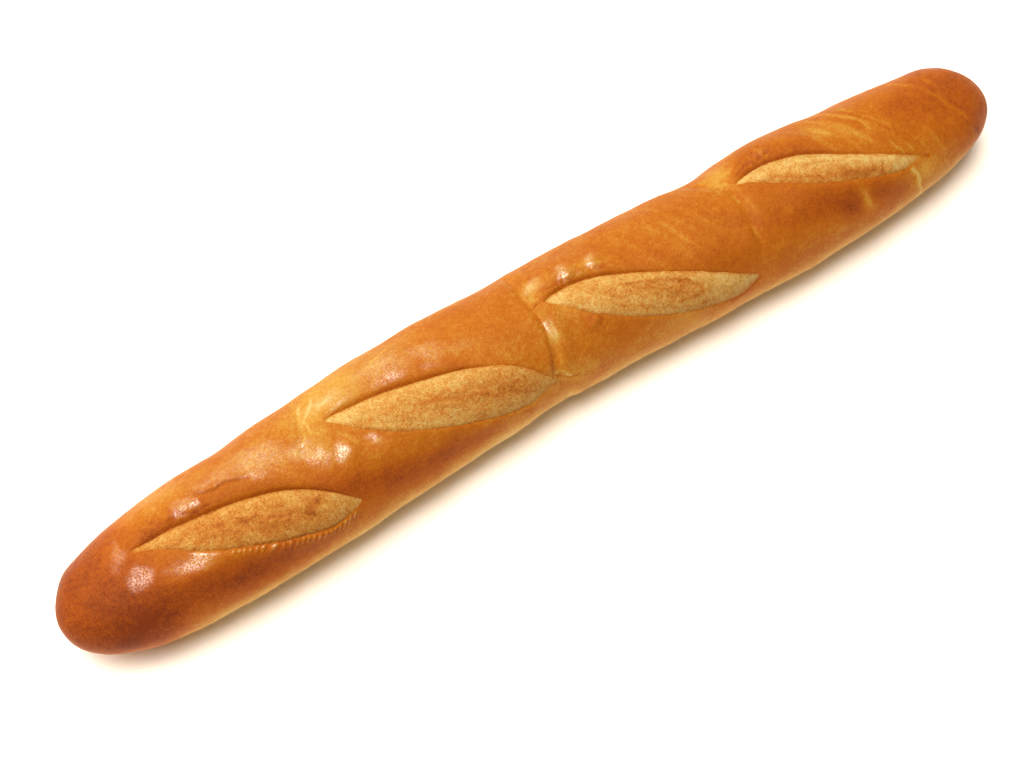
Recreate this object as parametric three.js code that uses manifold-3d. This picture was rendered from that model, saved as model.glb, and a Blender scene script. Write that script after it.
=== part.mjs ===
// A short French stick loaf with four slanting cuts, lying on its flat base.
//
// Millimetres, +Z up. The loaf runs along X, its smaller-X end is the end nearest the viewer,
// and the base is the plane z = 0. The skin is a grid of points set out in loaf coordinates:
// x along the loaf and t, the distance round the skin from the line along its top, positive
// toward +Y. Each cut is then carved by a cutter that is laid out in the same coordinates, so
// its edges stay sharp and its floor is the open crumb.

import * as THREE from 'three';
import * as BufferGeometryUtils from 'three/addons/utils/BufferGeometryUtils.js';
import Module from 'manifold-3d';

// Driving dimensions of the whole loaf
const LENGTH = 500;
const HALF_LENGTH = LENGTH / 2;
const HALF_WIDTH = 33;
const HEIGHT = 53;
const WIDEST_HEIGHT = 22;

// How full the section is, and how far the underside would sag if it weren't resting flat
const DOME = 2.15;
const SAG = 1.18;
const BASE_SOFTNESS = 1.5;

// The flat patch that takes the weight; the rest of the underside is a little clear of the table
const SOLE = { length: 340, width: 22, height: 4, lift: 0.3 };

// How blunt the two ends are, seen from above, and how the top line falls toward them
const NEAR_END = { reach: 8, round: 2.1 };
const FAR_END = { reach: 4.9, round: 2.8 };
const TOP_LINE = { reach: 2.9, round: 2.9 };

// The slight bends of the centre line
const BENDS = [
  { size: 3.1, wave: 420, at: -31 },
  { size: -0.56, wave: 190, at: -113 },
];

// Places where the loaf is a little thinner between its cuts
const WAISTS = [
  { x: -14, depth: 1.2, span: 14 },
  { x: 40, depth: 1.1, span: 50 },
  { x: 90, depth: 0.9, span: 14 },
];

// Broad unevenness of the baked skin
const LUMPS = [
  { size: 0.14, along: 41, round: 67, phase: 0.4 },
  { size: 0.1, along: 27, round: -44, phase: 2.1 },
  { size: 0.12, along: 63, round: 23, phase: 4.3 },
];

// Broad swells and hollows along the far side: middle (x, t), reach along x and along t, height
const SWELLS = [
  { middle: [-242, 26], reach: [9, 18], height: 2.2 },
  { middle: [-163, 32], reach: [18, 14], height: -0.8 },
  { middle: [-92, 30], reach: [30, 20], height: 1.5 },
  { middle: [-28, 32], reach: [14, 14], height: -0.5 },
  { middle: [45, 30], reach: [26, 20], height: 0.8 },
  { middle: [97, 32], reach: [10, 12], height: -0.5 },
  { middle: [133, 30], reach: [24, 20], height: 2 },
  { middle: [234, 24], reach: [20, 16], height: 2.2 },
];

// The four cuts: both edges as (x, t) points from the left tip to the right tip, how far
// along the cut its lip holds, and how high its near rim stands
const CUTS = [
  {
    far: [[-212, 6], [-192, 4.4], [-175, 1.2], [-159, -3], [-143, -9.4], [-129, -19], [-116, -32]],
    near: [[-212, 6], [-200, -0.8], [-183, -13.4], [-162, -24], [-146, -31], [-132, -35.2], [-116, -33.5]],
    hold: 0.75,
    rim: 1.1,
  },
  {
    far: [[-116, 8], [-97, 6], [-79, 1.4], [-62, -4], [-47, -9.6], [-30, -19], [-16, -33.4]],
    near: [[-116, 8], [-105, -3], [-94, -12.6], [-78, -21.8], [-55, -32.4], [-32, -39], [-16, -35]],
    hold: 0.55,
    rim: 0.4,
  },
  {
    far: [[-7, 1.5], [5, 2.6], [16, 1.8], [28, -2.2], [46, -10.7], [68, -22], [92, -35.5]],
    near: [[-7, 1.5], [2, -6], [12, -15.7], [28, -25], [50, -35], [78, -41.6], [92, -37.5]],
    hold: 0.36,
    rim: 0.3,
  },
  {
    far: [[101, 9.8], [114, 12.2], [126, 11], [141, 5.8], [157, -4], [177, -14.6], [192, -21.6]],
    near: [[101, 9.8], [108, 6.6], [121, -2], [138, -11.4], [156, -18.2], [178, -24.2], [192, -22.8]],
    hold: 0.5,
    rim: 0.6,
  },
];

// The lip along each cut's far edge: it stands up steeply from the crumb, bends over, and rises
// slowly to a crest further back, then falls away. It is full by a share of the cut's length,
// and fades out round the place where its cut's hold ends
const LIP = {
  height: 1.9, depth: 1.5, crest: 10, power: 0.38, skirt: 9, fullBy: 0.14, fadeBefore: 0.15, fadeAfter: 0.25,
};
const NARROWEST_LIP = 1.5;

// The low rim along each cut's near edge, with the shares of the cut's length where it starts,
// is full, and starts to fade
const RIM = { crest: 1.6, skirt: 4.5, from: 0.1, fullBy: 0.45, fadeFrom: 0.8 };

// The crumb that shows in a cut: its bulge, how far its edges lie below the skin, its grain
const CRUMB = { bulge: 1.5, edge: 0.5, steepness: 3.2, openBy: 0.15, closeFrom: 0.8 };
const GRAIN = [
  { size: 0.26, along: 11, round: 9, phase: 1.1 },
  { size: 0.2, along: 7.5, round: -13, phase: 3.7 },
];

// The creases where the skin folded across the loaf: points (t, x) of each valley. Each one
// fades in before its first point and out round its end, and a ridge lies beside it
const CREASE_FADE = { before: 12, round: 6 };
const CREASE_RIDGE = { away: 2.5, width: 1.5 };
const CREASES = [
  {
    line: [[-50, -10], [-31, -15], [-21, -12], [-6, -9.8], [5, -10.4], [20, -9.5]],
    depth: 1.5, width: 2.2, ridge: 0.7, end: 26,
  },
  {
    line: [[-19, 97], [-2, 99.6], [6, 100], [12, 97], [18, 92.6], [24, 88]],
    depth: 1, width: 3, ridge: 0, end: 30,
  },
  {
    line: [[-2, -128.6], [5, -126], [14, -122.4], [29, -121.5]],
    depth: 0.8, width: 4, ridge: 0, end: 32,
  },
];

// Relief fades out between these heights above the table, and over this length at the tips
const RELIEF_FADE = { low: 2, high: 12, tip: 14 };

// Fineness of the skin grid: its stations along the loaf and its steps round half a section
const STATION_STEP = 6.4;
const END_STATIONS = { count: 9, length: 52 };
const CREASE_STATIONS = { middle: -12, span: 11, step: 2 };
const ROUND_STEPS = 24;
const EVEN_SHARE = 0.62;
const SECTION_SAMPLES = 180;

// The skin that fills a cut until its cutter takes it away: how many times the crumb's bulge
const COVER = { times: 1.3, openBy: 0.12, closeFrom: 0.88, blendFrom: 0.3 };

// The cutters: their fineness, how far their tops clear the skin, and their narrowest parts
const CUTTER_STATIONS = 20;
const CUTTER_STEPS = 7;
const CUTTER_END_GAP = 0.35;
const CUTTER_TOP = 9;
const CUTTER_TOP_STEPS = 3;
const CUTTER_SHOULDER = { reach: 1.3, height: 1.5 };
const LIP_SHARES = [0.03, 0.12, 0.35, 0.7];
const NARROWEST_TIP = 1;

// Points closer than this are one point, and an edge shorter than this is closed up
const SAME_POINT = 1e-4;
const SHORTEST_EDGE = 0.06;

const CRUST_COLOUR = 0xc9853f;

function smoothstep(low, high, value) {
  const s = THREE.MathUtils.clamp((value - low) / (high - low), 0, 1);
  return s * s * (3 - 2 * s);
}

function bell(offset, width) {
  return Math.exp(-((offset / width) ** 2));
}

function signedPower(value, exponent) {
  return Math.sign(value) * Math.abs(value) ** exponent;
}

// A smooth line through a few points, given as [place, value] in rising order of place
function curveThrough(points, place) {
  const last = points.length - 1;
  const clamped = THREE.MathUtils.clamp(place, points[0][0], points[last][0]);
  let i = 0;
  while (i < last - 1 && points[i + 1][0] < clamped) {
    i += 1;
  }
  const slope = (a, b) => (points[b][1] - points[a][1]) / (points[b][0] - points[a][0]);
  const span = points[i + 1][0] - points[i][0];
  const slopeHere = i === 0 ? slope(0, 1) : slope(i - 1, i + 1);
  const slopeNext = i + 1 === last ? slope(last - 1, last) : slope(i, i + 2);
  const s = (clamped - points[i][0]) / span;
  const rise = points[i + 1][1] - points[i][1];
  const ease = s * s * (3 - 2 * s);
  const leave = s * (1 - s) * (1 - s) * span * slopeHere;
  const arrive = s * s * (s - 1) * span * slopeNext;
  return points[i][1] + rise * ease + leave + arrive;
}

function waves(list, x, t) {
  let sum = 0;
  for (const wave of list) {
    sum += wave.size * Math.sin(2 * Math.PI * (x / wave.along + t / wave.round) + wave.phase);
  }
  return sum;
}

function swell(x, t) {
  let sum = 0;
  for (const { middle, reach, height } of SWELLS) {
    sum += height * bell(x - middle[0], reach[0]) * bell(t - middle[1], reach[1]);
  }
  return sum;
}

// The unevenness that the skin and the crumb share
function unevenness(x, t) {
  return waves(LUMPS, x, t) + swell(x, t);
}

// How much of the full section is left at x, from 1 in the middle to 0 at the tip
function taper(x, end) {
  const along = Math.min(Math.abs(x) / HALF_LENGTH, 1);
  return (1 - along ** end.reach) ** (1 / end.round);
}

function centreLine(x) {
  let y = 0;
  for (const bend of BENDS) {
    y += bend.size * Math.cos((2 * Math.PI * (x - bend.at)) / bend.wave);
  }
  return y;
}

function girth(x) {
  let share = 1;
  for (const waist of WAISTS) {
    share -= (waist.depth / HALF_WIDTH) * bell(x - waist.x, waist.span);
  }
  return share;
}

// The height after the underside has settled flat, just clear of the plane z = 0
function settled(z) {
  const spare = z - SOLE.lift;
  if (spare <= -BASE_SOFTNESS) {
    return SOLE.lift;
  }
  if (spare >= BASE_SOFTNESS) {
    return z;
  }
  return SOLE.lift + (spare + BASE_SOFTNESS) ** 2 / (4 * BASE_SOFTNESS);
}

// One half of the section at x, from the top line to the bottom line, with its running length
function halfSection(x) {
  const plan = taper(x, x < 0 ? NEAR_END : FAR_END);
  const width = HALF_WIDTH * plan * girth(x);
  const above = (HEIGHT - WIDEST_HEIGHT) * taper(x, TOP_LINE) * girth(x);
  const below = WIDEST_HEIGHT * SAG * plan;
  const samples = [];
  let length = 0;
  for (let i = 0; i <= SECTION_SAMPLES; i += 1) {
    const angle = (Math.PI * i) / SECTION_SAMPLES;
    const across = i === SECTION_SAMPLES ? 0 : Math.sin(angle);
    const up = Math.cos(angle);
    const y = width * signedPower(across, 2 / DOME);
    const z = settled(WIDEST_HEIGHT + (up > 0 ? above : below) * signedPower(up, 2 / DOME));
    if (i > 0) {
      const previous = samples[i - 1];
      length += Math.hypot(y - previous.y, z - previous.z);
    }
    samples.push({ y, z, length });
  }
  return { x, samples, length, middle: centreLine(x) };
}

// The point of the smooth loaf at distance t round the section, with the way out of it
function skinPoint(section, t) {
  const reach = Math.min(Math.abs(t), section.length);
  const samples = section.samples;
  let low = 0;
  let high = samples.length - 1;
  while (high - low > 1) {
    const half = (low + high) >> 1;
    if (samples[half].length <= reach) {
      low = half;
    } else {
      high = half;
    }
  }
  const a = samples[low];
  const b = samples[high];
  const s = (reach - a.length) / Math.max(b.length - a.length, 1e-9);
  const before = samples[Math.max(low - 1, 0)];
  const after = samples[Math.min(high + 1, samples.length - 1)];
  const side = t < 0 ? -1 : 1;
  const alongY = after.y - before.y;
  const alongZ = after.z - before.z;
  const size = Math.hypot(alongY, alongZ) || 1;
  return {
    y: section.middle + side * (a.y + (b.y - a.y) * s),
    z: a.z + (b.z - a.z) * s,
    outY: (side * -alongZ) / size,
    outZ: alongY / size,
  };
}

// Where x lies along a cut, and where the cut's two edges are there
function cutAt(cut, x) {
  const start = cut.far[0][0];
  const end = cut.far[cut.far.length - 1][0];
  const far = curveThrough(cut.far, x);
  const near = curveThrough(cut.near, x);
  const step = 1;
  const lean = (curveThrough(cut.far, x + step) - curveThrough(cut.far, x - step)) / (2 * step);
  return { along: (x - start) / (end - start), far, near, squeeze: 1 / Math.hypot(1, lean) };
}

// How strong the lip is along a cut: it rises soon after the left tip and fades to the right
function lipStrength(cut, along) {
  const fade = smoothstep(cut.hold - LIP.fadeBefore, cut.hold + LIP.fadeAfter, along);
  return smoothstep(0, LIP.fullBy, along) * (1 - fade);
}

// How far back from the cut's far edge the lip has its crest
function lipReach(strength) {
  return Math.max(LIP.crest * strength, NARROWEST_LIP);
}

function rimStrength(along) {
  return smoothstep(RIM.from, RIM.fullBy, along) * (1 - smoothstep(RIM.fadeFrom, 1, along));
}

// The skin's rise round the cuts. Inside a cut it stays higher than the crumb, which the
// cutter then lays bare.
function riseRoundCuts(x, t) {
  let rise = 0;
  for (const cut of CUTS) {
    const here = cutAt(cut, x);
    if (here.along <= 0 || here.along >= 1) {
      continue;
    }
    const pastFar = (t - here.far) * here.squeeze;
    const pastNear = (here.near - t) * here.squeeze;
    const strength = lipStrength(cut, here.along);
    const lip = LIP.height * strength;
    const rim = cut.rim * rimStrength(here.along);
    if (pastFar > 0) {
      rise += lip * bell(Math.max(pastFar - lipReach(strength), 0), LIP.skirt);
    } else if (pastNear > 0) {
      rise += rim * bell(Math.max(pastNear - RIM.crest, 0), RIM.skirt);
    } else {
      const open = smoothstep(0, COVER.openBy, here.along) * (1 - smoothstep(COVER.closeFrom, 1, here.along));
      const across = pastNear / (pastNear + pastFar);
      const cover = COVER.times * CRUMB.bulge * open * Math.sqrt(4 * across * (1 - across));
      rise += rim + (lip - rim) * smoothstep(COVER.blendFrom, 1, across) + cover;
    }
  }
  return rise;
}

function fallAtCreases(x, t) {
  let fall = 0;
  for (const crease of CREASES) {
    const valley = curveThrough(crease.line, t);
    const start = crease.line[0][0];
    const fadeIn = smoothstep(start - CREASE_FADE.before, start, t);
    const fadeOut = smoothstep(crease.end - CREASE_FADE.round, crease.end + CREASE_FADE.round, t);
    const ridgeX = valley + CREASE_RIDGE.away * crease.width;
    const ridge = crease.ridge * bell(x - ridgeX, CREASE_RIDGE.width * crease.width);
    fall += fadeIn * (1 - fadeOut) * (crease.depth * bell(x - valley, crease.width) - ridge);
  }
  return fall;
}

// The rise of the baked skin over the smooth loaf; none where the loaf rests
function skinRise(x, t, z) {
  const overTable = smoothstep(RELIEF_FADE.low, RELIEF_FADE.high, z);
  const clear = overTable * smoothstep(0, RELIEF_FADE.tip, HALF_LENGTH - Math.abs(x));
  return clear * (unevenness(x, t) + riseRoundCuts(x, t) - fallAtCreases(x, t));
}

// The rise of the crumb in a cut. It is a low bulge that bends down steeply at both edges,
// furthest at the far edge where it goes under the lip.
function crumbRise(cut, along, x, t, far, near) {
  const open = smoothstep(0, CRUMB.openBy, along) * (1 - smoothstep(CRUMB.closeFrom, 1, along));
  const fromFar = 1 - Math.exp(-Math.max(far - t, 0) / CRUMB.steepness);
  const fromNear = 1 - Math.exp(-Math.max(t - near, 0) / CRUMB.steepness);
  const bulge = (CRUMB.bulge + waves(GRAIN, x, t)) * open * fromFar * fromNear;
  const dip = LIP.depth * lipStrength(cut, along) * (1 - fromFar);
  return unevenness(x, t) + bulge - dip - CRUMB.edge * (1 - fromFar * fromNear);
}

// The face of the lip, from the crumb line up to its crest, as a share of its height
function faceShare(share) {
  return Math.sin((Math.PI / 2) * share) ** LIP.power;
}

// The stations along the loaf: close together at the round ends and at the sharp crease
function stations() {
  const list = [];
  for (let i = 1; i <= END_STATIONS.count; i += 1) {
    list.push(END_STATIONS.length * (i / END_STATIONS.count) ** 2);
  }
  const inner = HALF_LENGTH - END_STATIONS.length;
  const near = list.map((reach) => reach - HALF_LENGTH);
  const far = list.map((reach) => HALF_LENGTH - reach).reverse();
  const middle = [];
  const crease = CREASE_STATIONS;
  let x = -inner + STATION_STEP;
  while (x < inner - STATION_STEP / 2) {
    middle.push(x);
    x += Math.abs(x + crease.step - crease.middle) < crease.span ? crease.step : STATION_STEP;
  }
  return [...near, ...middle, ...far];
}

// The share of the half section that each column takes: closer together over the top
function columnShare(step) {
  const s = step / ROUND_STEPS;
  return EVEN_SHARE * s + (1 - EVEN_SHARE) * s ** 3;
}

// A closed geometry from rings of equal size and a point that closes each end
function closedGeometry(rings, firstPole, lastPole) {
  const count = rings[0].length;
  const positions = [...rings.flat(), firstPole, lastPole];
  const poleA = positions.length - 2;
  const poleB = positions.length - 1;
  const index = [];
  for (let i = 0; i < rings.length - 1; i += 1) {
    for (let j = 0; j < count; j += 1) {
      const next = (j + 1) % count;
      const a = i * count + j;
      const b = i * count + next;
      const c = (i + 1) * count + next;
      const d = (i + 1) * count + j;
      index.push(a, d, b, b, d, c);
    }
  }
  const lastRing = (rings.length - 1) * count;
  for (let j = 0; j < count; j += 1) {
    const next = (j + 1) % count;
    index.push(poleA, j, next);
    index.push(poleB, lastRing + next, lastRing + j);
  }
  const geometry = new THREE.BufferGeometry();
  geometry.setAttribute('position', new THREE.Float32BufferAttribute(positions.flat(), 3));
  geometry.setIndex(index);
  return geometry;
}

function skinGeometry() {
  const rings = [];
  for (const x of stations()) {
    const section = halfSection(x);
    const ring = [];
    for (let j = -ROUND_STEPS + 1; j <= ROUND_STEPS; j += 1) {
      const share = Math.sign(j) * columnShare(Math.abs(j));
      const t = section.length * share;
      const point = skinPoint(section, t);
      const rise = skinRise(x, t, point.z);
      ring.push([x, point.y + point.outY * rise, point.z + point.outZ * rise]);
    }
    rings.push(ring);
  }
  const nearTip = [-HALF_LENGTH, centreLine(-HALF_LENGTH), WIDEST_HEIGHT];
  const farTip = [HALF_LENGTH, centreLine(HALF_LENGTH), WIDEST_HEIGHT];
  return closedGeometry(rings, nearTip, farTip);
}

// The closed body that carves one cut: its underside is the crumb and the wall under the lip
function cutterGeometry(cut) {
  const start = cut.far[0][0];
  const end = cut.far[cut.far.length - 1][0];
  const rings = [];
  for (let i = 0; i <= CUTTER_STATIONS; i += 1) {
    const turn = (Math.PI * (i + CUTTER_END_GAP)) / (CUTTER_STATIONS + 2 * CUTTER_END_GAP);
    const along = 0.5 - 0.5 * Math.cos(turn);
    const x = start + (end - start) * along;
    const section = halfSection(x);
    const here = cutAt(cut, x);
    const spare = Math.max(NARROWEST_TIP - (here.far - here.near), 0) / 2;
    const far = here.far + spare;
    const near = here.near - spare;
    const strength = lipStrength(cut, along);
    const outline = [];
    for (let j = 0; j <= CUTTER_STEPS; j += 1) {
      const across = 0.5 - 0.5 * Math.cos((Math.PI * j) / CUTTER_STEPS);
      const t = near + (far - near) * across;
      outline.push([t, crumbRise(cut, along, x, t, far, near)]);
    }
    const foot = outline[CUTTER_STEPS][1];
    const crest = LIP.height * strength + unevenness(x, far);
    const reach = lipReach(strength) / here.squeeze;
    for (const share of LIP_SHARES) {
      outline.push([far + reach * share, foot + (crest - foot) * faceShare(share)]);
    }
    const shoulder = far + reach * CUTTER_SHOULDER.reach;
    outline.push([shoulder, crest + CUTTER_SHOULDER.height]);
    for (let j = CUTTER_TOP_STEPS; j >= 0; j -= 1) {
      outline.push([near + ((shoulder - near) * j) / CUTTER_TOP_STEPS, CUTTER_TOP]);
    }
    rings.push(outline.reverse().map(([t, rise]) => {
      const point = skinPoint(section, t);
      return [x, point.y + point.outY * rise, point.z + point.outZ * rise];
    }));
  }
  const middleOf = (ring) => ring.reduce(
    (sum, point) => sum.map((value, k) => value + point[k] / ring.length),
    [0, 0, 0],
  );
  return closedGeometry(rings, middleOf(rings[0]), middleOf(rings[rings.length - 1]));
}

function middleAcross(geometry) {
  geometry.computeBoundingBox();
  return (geometry.boundingBox.min.y + geometry.boundingBox.max.y) / 2;
}

function soleGeometry(middle) {
  const sole = new THREE.BoxGeometry(SOLE.length, SOLE.width, SOLE.height);
  sole.translate(0, middle, SOLE.height / 2);
  sole.deleteAttribute('normal');
  sole.deleteAttribute('uv');
  return sole;
}

function toSolid(wasm, geometry) {
  const merged = BufferGeometryUtils.mergeVertices(geometry, SAME_POINT);
  return new wasm.Manifold(new wasm.Mesh({
    numProp: 3,
    vertProperties: new Float32Array(merged.attributes.position.array),
    triVerts: new Uint32Array(merged.index.array),
  }));
}

// The triangles left once each edge too short to see has been closed up to a single corner
function withoutSlivers(mesh) {
  const { vertProperties, triVerts, numProp } = mesh;
  const corner = (vertex) => vertProperties.subarray(vertex * numProp, vertex * numProp + 3);
  const keptAs = Array.from({ length: vertProperties.length / numProp }, (_, vertex) => vertex);
  const follow = (vertex) => {
    let kept = vertex;
    while (keptAs[kept] !== kept) {
      kept = keptAs[kept];
    }
    return kept;
  };
  for (let i = 0; i < triVerts.length; i += 3) {
    for (let k = 0; k < 3; k += 1) {
      const a = triVerts[i + k];
      const b = triVerts[i + ((k + 1) % 3)];
      const [ax, ay, az] = corner(a);
      const [bx, by, bz] = corner(b);
      if (Math.hypot(ax - bx, ay - by, az - bz) < SHORTEST_EDGE) {
        keptAs[follow(a)] = follow(b);
      }
    }
  }
  const faces = new Map();
  for (let i = 0; i < triVerts.length; i += 3) {
    const face = [...triVerts.subarray(i, i + 3)].map(follow);
    if (new Set(face).size < 3) {
      continue;
    }
    const key = [...face].sort((a, b) => a - b).join(' ');
    if (faces.has(key)) {
      faces.delete(key);
    } else {
      faces.set(key, face);
    }
  }
  return new Uint32Array([...faces.values()].flat());
}

function toGeometry(solid) {
  const mesh = solid.getMesh();
  const geometry = new THREE.BufferGeometry();
  geometry.setAttribute('position', new THREE.BufferAttribute(mesh.vertProperties, mesh.numProp));
  geometry.setIndex(new THREE.BufferAttribute(withoutSlivers(mesh), 1));
  geometry.computeVertexNormals();
  return geometry;
}

const wasm = await Module();
wasm.setup();

const skin = skinGeometry();
let solid = toSolid(wasm, skin);
for (const cut of CUTS) {
  solid = solid.subtract(toSolid(wasm, cutterGeometry(cut)));
}
solid = solid.add(toSolid(wasm, soleGeometry(middleAcross(skin))));

const crust = new THREE.MeshStandardMaterial({
  color: CRUST_COLOUR,
  roughness: 0.55,
  metalness: 0,
});
const loaf = new THREE.Mesh(toGeometry(solid), crust);
loaf.name = 'loaf';

// The loaf's bends put it a little to one side, so it is moved to straddle the X axis
loaf.position.y = -middleAcross(loaf.geometry);

const baguette = new THREE.Group();
baguette.name = 'baguette';
baguette.add(loaf);

export default baguette;
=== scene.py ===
# %% [markdown]
# # A short French stick
#
# This notebook dresses one baked loaf. The solid loaf is already there as a packed model, in metres, lying on
# its flat underside with +X along the loaf and +Z up. Here its skin is made again at a finer grain, the crumb
# is laid into the four cuts, and both are given their baked colours, with some painted shade and light in the
# skin's colour. Everything keeps the solid's frame, so nothing is moved into place afterwards.

# %% Load the solid loaf
import math

import bpy
import numpy as np
from mathutils import Matrix, Vector


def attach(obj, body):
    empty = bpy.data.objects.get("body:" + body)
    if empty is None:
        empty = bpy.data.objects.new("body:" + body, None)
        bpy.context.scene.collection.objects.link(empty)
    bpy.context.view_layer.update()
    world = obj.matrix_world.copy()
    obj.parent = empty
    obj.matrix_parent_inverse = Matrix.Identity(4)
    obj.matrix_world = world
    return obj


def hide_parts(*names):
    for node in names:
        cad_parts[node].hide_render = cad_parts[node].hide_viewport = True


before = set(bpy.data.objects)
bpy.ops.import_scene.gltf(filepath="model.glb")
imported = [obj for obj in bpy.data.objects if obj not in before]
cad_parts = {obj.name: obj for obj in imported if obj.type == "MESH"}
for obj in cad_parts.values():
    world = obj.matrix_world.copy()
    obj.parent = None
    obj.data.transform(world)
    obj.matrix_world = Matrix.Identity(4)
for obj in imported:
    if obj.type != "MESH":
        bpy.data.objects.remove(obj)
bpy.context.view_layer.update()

MM = 0.001

# %% [markdown]
# ## The smooth loaf
#
# A rolled loaf is nearly a body of revolution that has settled under its own weight: rounder
# above, flat below, with blunt ends and a slight bend. It could be a scaled sphere that is
# sculpted, but a formula is easier to lay things out on. The loaf is therefore described by
# its cross-section at each place x along it, and a point on the skin has two coordinates: x,
# and t, the distance round the skin from the line along the top, positive toward +Y. All the
# sizes below are in millimetres and are the ones that the solid was made with.

# %% Sizes of the smooth loaf
LENGTH = 500
HALF_LENGTH = LENGTH / 2
HALF_WIDTH = 33
HEIGHT = 53
WIDEST_HEIGHT = 22
DOME = 2.15
SAG = 1.18
BASE_SOFTNESS = 1.5
NEAR_END = dict(reach=8, round=2.1)
FAR_END = dict(reach=4.9, round=2.8)
TOP_LINE = dict(reach=2.9, round=2.9)
BENDS = [dict(size=3.1, wave=420, at=-31), dict(size=-0.56, wave=190, at=-113)]
WAISTS = [
    dict(x=-14, depth=1.2, span=14),
    dict(x=40, depth=1.1, span=50),
    dict(x=90, depth=0.9, span=14),
]
SECTION_SAMPLES = 180
print("length", LENGTH, "mm, width", 2 * HALF_WIDTH, "mm, height", HEIGHT, "mm")


# %% Small helpers for smooth shapes
def smoothstep(low, high, value):
    s = np.clip((value - low) / (high - low), 0, 1)
    return s * s * (3 - 2 * s)


def bell(offset, width):
    return np.exp(-((offset / width) ** 2))


def curve_through(points, place):
    """A smooth line through a few points (place, value), held level past both ends."""
    at, value = np.array(points, float).T
    slope = np.gradient(value)
    slope[1:-1] = (value[2:] - value[:-2]) / (at[2:] - at[:-2])
    slope[0] = (value[1] - value[0]) / (at[1] - at[0])
    slope[-1] = (value[-1] - value[-2]) / (at[-1] - at[-2])
    place = np.clip(place, at[0], at[-1])
    i = np.clip(np.searchsorted(at, place, side="left") - 1, 0, len(at) - 2)
    span = at[i + 1] - at[i]
    s = (place - at[i]) / span
    ease = s * s * (3 - 2 * s)
    leave = s * (1 - s) ** 2 * span * slope[i]
    arrive = s * s * (s - 1) * span * slope[i + 1]
    return value[i] + (value[i + 1] - value[i]) * ease + leave + arrive


print("halfway up a smooth step:", smoothstep(0, 1, 0.5))


# %% The cross-sections of the smooth loaf
def taper(x, end):
    along = np.minimum(np.abs(x) / HALF_LENGTH, 1)
    return (1 - along ** end["reach"]) ** (1 / end["round"])


def centre_line(x):
    return sum(b["size"] * np.cos(2 * math.pi * (x - b["at"]) / b["wave"]) for b in BENDS)


def girth(x):
    return 1 - sum(w["depth"] / HALF_WIDTH * bell(x - w["x"], w["span"]) for w in WAISTS)


def settled(z):
    """The height once the underside has settled flat on the table, z = 0."""
    soft = (z + BASE_SOFTNESS) ** 2 / (4 * BASE_SOFTNESS)
    return np.where(z <= -BASE_SOFTNESS, 0, np.where(z >= BASE_SOFTNESS, z, soft))


def half_sections(x):
    plan = np.where(x < 0, taper(x, NEAR_END), taper(x, FAR_END))
    width = HALF_WIDTH * plan * girth(x)
    above = (HEIGHT - WIDEST_HEIGHT) * taper(x, TOP_LINE) * girth(x)
    below = WIDEST_HEIGHT * SAG * plan
    angle = np.linspace(0, math.pi, SECTION_SAMPLES + 1)
    across = np.abs(np.sin(angle)) ** (2 / DOME)
    up = np.sign(np.cos(angle)) * np.abs(np.cos(angle)) ** (2 / DOME)
    y = width[:, None] * across
    z = settled(WIDEST_HEIGHT + np.where(up > 0, above[:, None], below[:, None]) * up)
    steps = np.hypot(np.diff(y, axis=1), np.diff(z, axis=1))
    length = np.concatenate([np.zeros((len(x), 1)), np.cumsum(steps, axis=1)], axis=1)
    return y, z, length


middle = half_sections(np.array([0.0]))
print("skin from the top line to the bottom line, mm:", round(float(middle[2][0, -1]), 1))


# %% [markdown]
# A point of the smooth skin is read from its section, with the direction that points out of
# the loaf there. Relief is then just a distance along that direction, so lips, creases and
# blisters can be added up as plain heights before any vertex is placed.

# %% Points on the smooth skin
NORMAL_STEP = 0.8


def skin_points(x, t):
    """The y, z of each skin point and its outward direction, for x (n) and t (n by m)."""
    y, z, length = half_sections(x)
    rows = []
    for i in range(len(x)):
        reach = np.minimum(np.abs(t[i]), length[i, -1])
        side = np.where(t[i] < 0, -1.0, 1.0)
        ahead = np.minimum(reach + NORMAL_STEP, length[i, -1])
        behind = np.maximum(reach - NORMAL_STEP, 0)
        along_y = np.interp(ahead, length[i], y[i]) - np.interp(behind, length[i], y[i])
        along_z = np.interp(ahead, length[i], z[i]) - np.interp(behind, length[i], z[i])
        size = np.maximum(np.hypot(along_y, along_z), 1e-9)
        here_y = centre_line(x[i]) + side * np.interp(reach, length[i], y[i])
        here_z = np.interp(reach, length[i], z[i])
        rows.append((here_y, here_z, -side * along_z / size, along_y / size))
    return [np.array(part) for part in zip(*rows)]


print("top of the loaf, mm:", round(float(skin_points(np.array([0.0]), np.zeros((1, 1)))[1][0, 0]), 1))

# %% [markdown]
# ## The cuts
#
# The baker slashes the loaf at a slant before it goes in. Each slash opens as the loaf
# springs: along its far edge the skin lifts into a lip that rolls down to the crumb, along
# its near edge a low rim is left, and the crumb swells up between them. Both edges of each
# cut are smooth lines through a few (x, t) points, the same ones that the solid has.

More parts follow.
